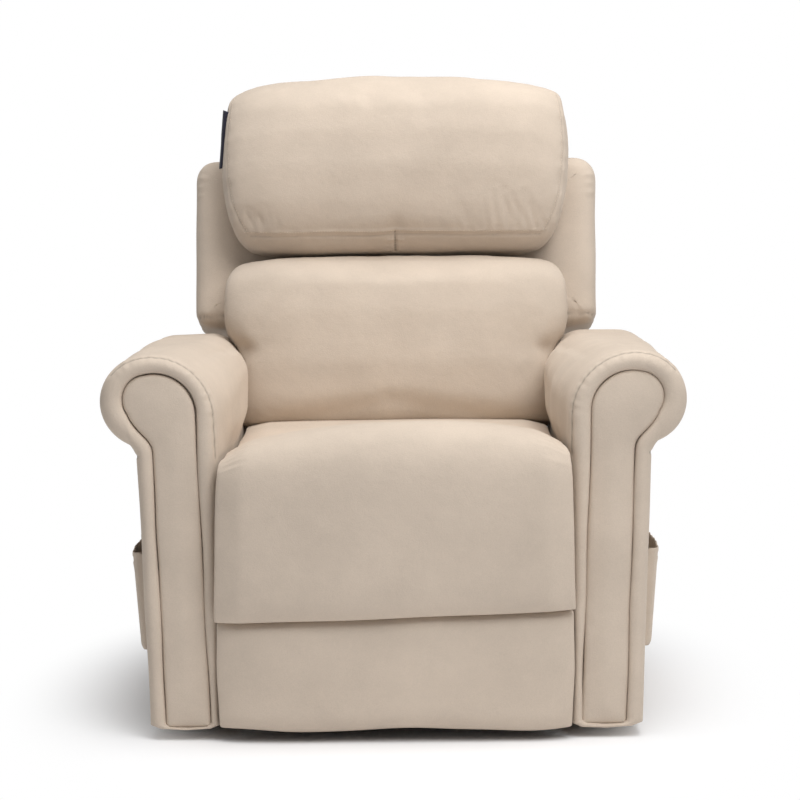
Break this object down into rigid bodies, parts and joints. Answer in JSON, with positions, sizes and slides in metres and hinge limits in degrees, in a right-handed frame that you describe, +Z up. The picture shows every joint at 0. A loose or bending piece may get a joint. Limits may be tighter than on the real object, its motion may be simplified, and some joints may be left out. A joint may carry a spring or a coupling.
{
  "type": "lift recliner",
  "caption": "Powered lift recliner: scroll arms with side pockets, padded back cushions, chaise footrest on scissor links, and a steel base whose link lift tips the seat forward.",
  "frame": {"origin": "centre of the whole chair's box on the floor, under the seat, with the chair sitting and shut", "axes": "+Z up, +X to the viewer's right when the chair is seen from the front, and the seat faces -Y"},
  "size_m": [0.8712, 0.919, 1.0189],
  "materials": {
    "frame_steel": "satin black powder coat",
    "glide_plastic": "matt",
    "bright_steel": "zinc plated",
    "timber": "raw pine and plywood",
    "deck_cloth": "woven deck cloth",
    "suede_pad": "soft suede-like faux leather, padded",
    "suede_cover": "soft suede-like faux leather",
    "lining": "black lining cloth on board",
    "tab_cloth": "plain dark navy tape",
    "motor_plastic": "moulded, fine texture",
    "tube_steel": "satin",
    "rod_chrome": "polished",
    "handset_plastic": "soft touch",
    "key_plastic": "matt"
  },
  "bodies": {
    "base": {"base_side_rails": "frame_steel", "base_cross_tubes": "frame_steel", "riser_plates": "frame_steel", "floor_glides": "glide_plastic", "lift_motor_bracket": "frame_steel", "base_pins": "bright_steel"},
    "lift_lower": {"lower_lift_links": "frame_steel", "torsion_tube": "frame_steel"},
    "lift_upper": {"upper_lift_links": "frame_steel"},
    "seat": {"mechanism_plates": "frame_steel", "chassis_cross_tubes": "frame_steel", "motor_brackets": "frame_steel", "chassis_pins": "bright_steel", "seat_frame": "timber", "seat_springs": "bright_steel", "spring_clips": "bright_steel", "seat_deck": "deck_cloth", "seat_cushion": "suede_pad", "arm_frame_left": "timber", "arm_frame_right": "timber", "arm_cover_left": "suede_cover", "arm_cover_right": "suede_cover", "arm_facing_left": "suede_cover", "arm_facing_right": "suede_cover", "pocket_left": "suede_cover", "pocket_right": "suede_cover", "rear_panel": "lining", "frame_bolts": "bright_steel"},
    "back": {"back_frame": "timber", "back_hinge_brackets": "frame_steel", "back_lever_tube": "frame_steel", "back_shell": "suede_cover", "outer_back_pad": "suede_cover", "lumbar_cushion": "suede_pad", "head_cushion": "suede_pad", "label_tab": "tab_cloth"},
    "footrest": {"footrest_board": "timber", "footrest_brackets": "frame_steel", "legrest_pad": "suede_pad", "footrest_flap": "suede_cover"},
    "front_arms": {"front_arm_links": "frame_steel", "footrest_drive_tube": "frame_steel", "front_arm_rivets": "bright_steel"},
    "rear_arms": {"rear_arm_links": "frame_steel"},
    "long_links": {"long_lift_links": "frame_steel"},
    "short_links": {"short_lift_links": "frame_steel"},
    "lift_actuator": {"lift_motor": "motor_plastic", "lift_motor_tube": "tube_steel"},
    "lift_rod": {"lift_motor_rod": "rod_chrome"},
    "foot_actuator": {"foot_motor": "motor_plastic", "foot_motor_tube": "tube_steel"},
    "foot_rod": {"foot_motor_rod": "rod_chrome"},
    "back_actuator": {"back_motor": "motor_plastic", "back_motor_tube": "tube_steel"},
    "back_rod": {"back_motor_rod": "rod_chrome"},
    "handset": {"handset_body": "handset_plastic"},
    "key_raise": {"button_raise": "key_plastic"},
    "key_lower": {"button_lower": "key_plastic"},
    "key_recline": {"button_recline": "key_plastic"},
    "key_upright": {"button_upright": "key_plastic"}
  },
  "joints": [
    {"name": "lift", "type": "hinge", "parent": "base", "child": "lift_lower", "pos_m": [0, 0.215, 0.078], "axis": [-1, 0, 0], "range_deg": [0, 56]},
    {"name": "upper_link_turn", "type": "hinge", "parent": "base", "child": "lift_upper", "pos_m": [0, 0.215, 0.19418], "axis": [-1, 0, 0], "range_deg": [0, 56.34]},
    {"name": "seat_tilt", "type": "hinge", "parent": "lift_lower", "child": "seat", "pos_m": [0, -0.18476, 0.09196], "axis": [-1, 0, 0], "range_deg": [-82.02, 0]},
    {"name": "lift_actuator_swing", "type": "hinge", "parent": "base", "child": "lift_actuator", "pos_m": [0, -0.215, 0.07], "axis": [-1, 0, 0], "range_deg": [0, 2.16]},
    {"name": "lift_rod_slide", "type": "slide", "parent": "lift_actuator", "child": "lift_rod", "axis": [0, 0.9446, 0.3282], "range_m": [0, 0.13261]},
    {"name": "footrest_fold", "type": "hinge", "parent": "seat", "child": "footrest", "pos_m": [0, -0.4482, 0.4707], "axis": [-1, 0, 0], "range_deg": [0, 86]},
    {"name": "front_arm_turn", "type": "hinge", "parent": "seat", "child": "front_arms", "pos_m": [0, -0.3412, 0.3132], "axis": [-1, 0, 0], "range_deg": [0, 91.02]},
    {"name": "rear_arm_turn", "type": "hinge", "parent": "seat", "child": "rear_arms", "pos_m": [0, -0.289, 0.2597], "axis": [-1, 0, 0], "range_deg": [0, 83.02]},
    {"name": "long_link_turn", "type": "hinge", "parent": "front_arms", "child": "long_links", "pos_m": [0, -0.28313, 0.20353], "axis": [-1, 0, 0], "range_deg": [-96.82, 0]},
    {"name": "short_link_turn", "type": "hinge", "parent": "front_arms", "child": "short_links", "pos_m": [0, -0.25164, 0.14405], "axis": [-1, 0, 0], "range_deg": [-95.33, 0]},
    {"name": "foot_actuator_swing", "type": "hinge", "parent": "seat", "child": "foot_actuator", "pos_m": [0, 0.1295, 0.235], "axis": [-1, 0, 0], "range_deg": [-0.7166, 0]},
    {"name": "foot_rod_slide", "type": "slide", "parent": "foot_actuator", "child": "foot_rod", "axis": [0, -0.993, 0.1182], "range_m": [0, 0.05105]},
    {"name": "back_recline", "type": "hinge", "parent": "seat", "child": "back", "pos_m": [0, 0.225, 0.33], "axis": [-1, 0, 0], "range_deg": [0, 45]},
    {"name": "back_actuator_swing", "type": "hinge", "parent": "seat", "child": "back_actuator", "pos_m": [0, -0.1905, 0.255], "axis": [-1, 0, 0], "range_deg": [-0.1128, 0]},
    {"name": "back_rod_slide", "type": "slide", "parent": "back_actuator", "child": "back_rod", "axis": [0, 0.9999, 0.0108], "range_m": [-0.05818, 0]},
    {"name": "handset_lift", "type": "slide", "parent": "seat", "child": "handset", "axis": [-0.0344, 0, 0.9994], "range_m": [0, 0.11]},
    {"name": "press_raise", "type": "slide", "parent": "handset", "child": "key_raise", "axis": [0.9994, 0, 0.0344], "range_m": [0, 0.0008], "stiffness_N_per_m": 300, "springref_m": -0.003},
    {"name": "press_lower", "type": "slide", "parent": "handset", "child": "key_lower", "axis": [0.9994, 0, 0.0344], "range_m": [0, 0.0008], "stiffness_N_per_m": 300, "springref_m": -0.003},
    {"name": "press_recline", "type": "slide", "parent": "handset", "child": "key_recline", "axis": [0.9994, 0, 0.0344], "range_m": [0, 0.0008], "stiffness_N_per_m": 300, "springref_m": -0.003},
    {"name": "press_upright", "type": "slide", "parent": "handset", "child": "key_upright", "axis": [0.9994, 0, 0.0344], "range_m": [0, 0.0008], "stiffness_N_per_m": 300, "springref_m": -0.003}
  ],
  "couplings": [
    {"joint": "upper_link_turn", "follows": "lift", "ratio": 1.0058},
    {"joint": "seat_tilt", "follows": "lift", "ratio": -1.4643},
    {"joint": "lift_actuator_swing", "follows": "lift", "ratio": 0.038231},
    {"joint": "lift_rod_slide", "follows": "lift", "m_per_rad": 0.13566},
    {"joint": "front_arm_turn", "follows": "footrest_fold", "ratio": 1.0581},
    {"joint": "rear_arm_turn", "follows": "footrest_fold", "ratio": 0.96512},
    {"joint": "long_link_turn", "follows": "footrest_fold", "ratio": -1.1256},
    {"joint": "short_link_turn", "follows": "footrest_fold", "ratio": -1.1082},
    {"joint": "foot_actuator_swing", "follows": "footrest_fold", "ratio": -0.0081004},
    {"joint": "foot_rod_slide", "follows": "footrest_fold", "m_per_rad": 0.033998},
    {"joint": "back_actuator_swing", "follows": "back_recline", "ratio": -0.0020626},
    {"joint": "back_rod_slide", "follows": "back_recline", "m_per_rad": -0.074057}
  ]
}
